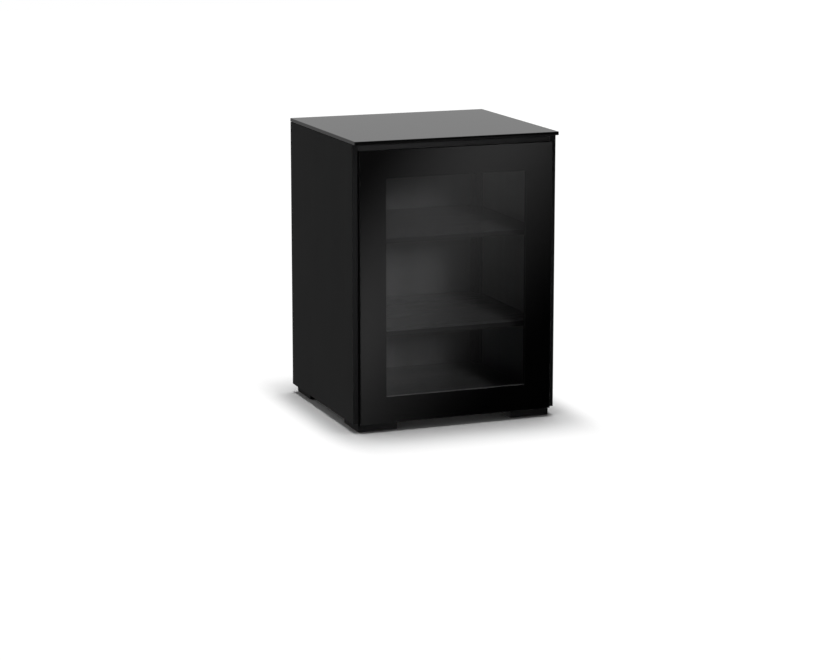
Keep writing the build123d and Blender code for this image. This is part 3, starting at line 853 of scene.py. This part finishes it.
def turnedRing(build, profile, centre, axis, steps):
    # turns a closed loop of (radius, height) points round an upright or a front-to-back axis
    rows = []
    for step in range(steps):
        angle = 2 * math.pi * step / steps
        row = []
        for radius, height in profile:
            u, v = radius * math.cos(angle), radius * math.sin(angle)
            if axis == "Y":
                spot = (centre[0] + u, centre[1] + height, centre[2] - v)
            else:
                spot = (centre[0] + u, centre[1] + v, centre[2] + height)
            row.append(build.verts.new(spot))
        rows.append(row)
    joinRows(build, rows + rows[:1])


def roundedLoop(corners, radius, steps):
    # rounds the corners of a closed loop of points by cutting each with a short curve
    loop = []
    for index, corner in enumerate(corners):
        here = Vector(corner)
        before = Vector(corners[index - 1]) - here
        after = Vector(corners[(index + 1) % len(corners)]) - here
        reach = min(radius, before.length * 0.45, after.length * 0.45)     # never as far as halfway
        start, end = here + before.normalized() * reach, here + after.normalized() * reach
        for step in range(steps + 1):
            share = step / steps
            spot = start * (1 - share) ** 2 + here * 2 * share * (1 - share) + end * share ** 2
            loop.append((spot.x, spot.y))
    return loop


turning = {
    "merge": 0.000002,      # turned points nearer than this are one
    "weld": 0.00001,        # the same for a node's own points
    "core": 0.00001,        # radius of the pinhole that keeps a pad's outline a closed loop
}


def finishTurned(name, build, material, body, replaced):
    bmesh.ops.remove_doubles(build, verts=build.verts, dist=turning["merge"])
    bmesh.ops.recalc_face_normals(build, faces=build.faces)
    for face in build.faces:
        face.smooth = True
    piece = takeMesh(name, build)
    piece.data.materials.append(material)
    piece.modifiers.new("flatFaces", "WEIGHTED_NORMAL").keep_sharp = True
    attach(piece, body)
    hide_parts(replaced)


def islandBoxes(name):
    # the box of each separate solid of a node, low to high
    build = bmesh.new()
    build.from_mesh(nodes[name].data)
    bmesh.ops.remove_doubles(build, verts=build.verts, dist=turning["weld"])
    left = set(build.verts)
    boxes = []
    while left:
        todo = [left.pop()]
        seen = set(todo)
        while todo:
            for edge in todo.pop().link_edges:
                for vert in edge.verts:
                    if vert not in seen:
                        seen.add(vert)
                        todo.append(vert)
        left -= seen
        boxes.append((Vector([min(vert.co[i] for vert in seen) for i in range(3)]),
                      Vector([max(vert.co[i] for vert in seen) for i in range(3)])))
    build.free()
    return sorted(boxes, key=lambda box: tuple(round(c, 5) for c in box[0]))


outletRing = {
    "flange": 0.0061, "wall": 0.0029,   # widths of the flange and of the tube's wall
    "flangeDeep": 0.002, "brim": 0.0007, "slope": 0.0022, "mouth": 0.0012,
    "round": 0.0006, "roundSteps": 3, "steps": 72,
}


def buildRings(name, node, values):
    # the tube of each ring lies in the back board, its flange outside
    build = bmesh.new()
    for low, high in islandBoxes(node):
        outer, deep = (high.x - low.x) / 2, high.y - low.y
        tube = outer - values["flange"]
        bore = tube - values["wall"]
        step = deep - values["flangeDeep"]
        mouth = values["mouth"]
        corners = [(bore, 0.0), (tube, 0.0), (tube, step), (outer, step), (outer, step + values["brim"]),
                   (outer - values["slope"], deep), (bore + mouth, deep), (bore, deep - mouth)]
        profile = roundedLoop(corners, values["round"], values["roundSteps"])
        turnedRing(build, profile, ((low.x + high.x) / 2, low.y, (low.z + high.z) / 2), "Y", values["steps"])
    finishTurned(name, build, plastic, "cabinet", node)


buildRings("outletRings", "cable_grommets", outletRing)

padOutline = {
    "heel": 0.4,                    # the lower rim's bevel, as a share of the edge
    "rim": (0, 22, 45, 67, 90),     # degrees along the upper rim's round
    "crown": (0.75, 0.5, 0.25),     # how far out the raised middle's rings lie
}
discShape = {"axis": "Z", "edge": 0.0004, "crown": 0.0, "steps": 32}
padShape = {"axis": "Z", "edge": 0.0004, "crown": 0.0, "steps": 64}
bumperShape = {"axis": "Y", "edge": 0.0007, "crown": 0.0003, "steps": 32}


def buildPads(name, node, values, material, body):
    # low round pads with a softly rounded rim and a middle raised by the crown
    build = bmesh.new()
    edge, crown, core = values["edge"], values["crown"], turning["core"]
    heel = edge * padOutline["heel"]
    for low, high in islandBoxes(node):
        middle = (low + high) / 2
        radius = (high.x - low.x) / 2
        if values["axis"] == "Y":
            tall, base = high.y - low.y, (middle.x, low.y, middle.z)
        else:
            tall, base = high.z - low.z, (middle.x, middle.y, low.z)
        profile = [(core, 0.0), (radius - heel, 0.0), (radius, heel)]
        for degrees in padOutline["rim"]:
            angle = math.radians(degrees)
            profile.append((radius - edge * (1 - math.cos(angle)),
                            tall - crown - edge * (1 - math.sin(angle))))
        profile += [(radius * share, tall - crown * share ** 2) for share in padOutline["crown"]]
        profile.append((core, tall))
        turnedRing(build, profile, base, values["axis"], values["steps"])
    finishTurned(name, build, material, body, node)


buildPads("topDiscs", "glass_discs", discShape, rubber, "cabinet")
buildPads("feltPads", "foot_pads", padShape, felt, "cabinet")
buildPads("doorBumpers", "door_stops", bumperShape, rubber, "door")
print("turned pieces made")

# edge banding glued to the front edges of the boards
band = {
    "thick": 0.0004, "round": 0.0003, "steps": 2,
    "trim": 0.00008,            # how much smaller it is than the board's edge
    "knuckleClear": 0.0045,     # how far it keeps back from the hinge knuckles
    "pinClear": 0.0008,         # and how far past the pin's ends it stays narrow
    "same": 0.00001,            # points this near in depth lie on one face
}


def bandOver(name):
    # the strip over a board's front edge, a hair smaller than the edge
    low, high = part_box(name)
    trim = band["trim"]
    return (low.x + trim, low.y - band["thick"], low.z + trim), (high.x - trim, low.y, high.z - trim)


def bandPastHinges(name, pins):
    # the strip over a board's front edge in lengths, narrower beside each hinge pin
    (left, front, bottom), (right, rear, top) = bandOver(name)
    spans = []
    for pinLow, pinHigh in islandBoxes(pins):
        cutLow, cutHigh = pinLow.z - band["pinClear"], pinHigh.z + band["pinClear"]
        spans.append(((left, front, bottom), (right, rear, cutLow)))
        spans.append(((left + band["knuckleClear"], front, cutLow), (right, rear, cutHigh)))
        bottom = cutHigh
    spans.append(((left, front, bottom), (right, rear, top)))
    return spans


def buildBands(name, spans, material):
    build = bmesh.new()
    for low, high in spans:
        front = [edge for edge in addStrip(build, low, high)
                 if all(abs(vert.co.y - low[1]) < band["same"] for vert in edge.verts)]
        roundStrip(build, front, band["round"], band["steps"])
    strips = takeMesh(name, build)
    strips.data.materials.append(material)
    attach(strips, "cabinet")


buildBands("shelfEdgeBands", [bandOver("shelf_lower"), bandOver("shelf_upper")], shelfBandBlack)
buildBands("boardEdgeBands", [bandOver("top_panel"), bandOver("base_panel")], bandBlack)
# the side boards' bands carry the darker painted shade
sideSpans = [bandOver("side_left")] + bandPastHinges("side_right", "hinge_pins")
buildBands("sideEdgeBands", sideSpans, sideBandPaintedShade)
print("edge bands glued")

bpy.context.scene.view_settings.view_transform = "Standard"
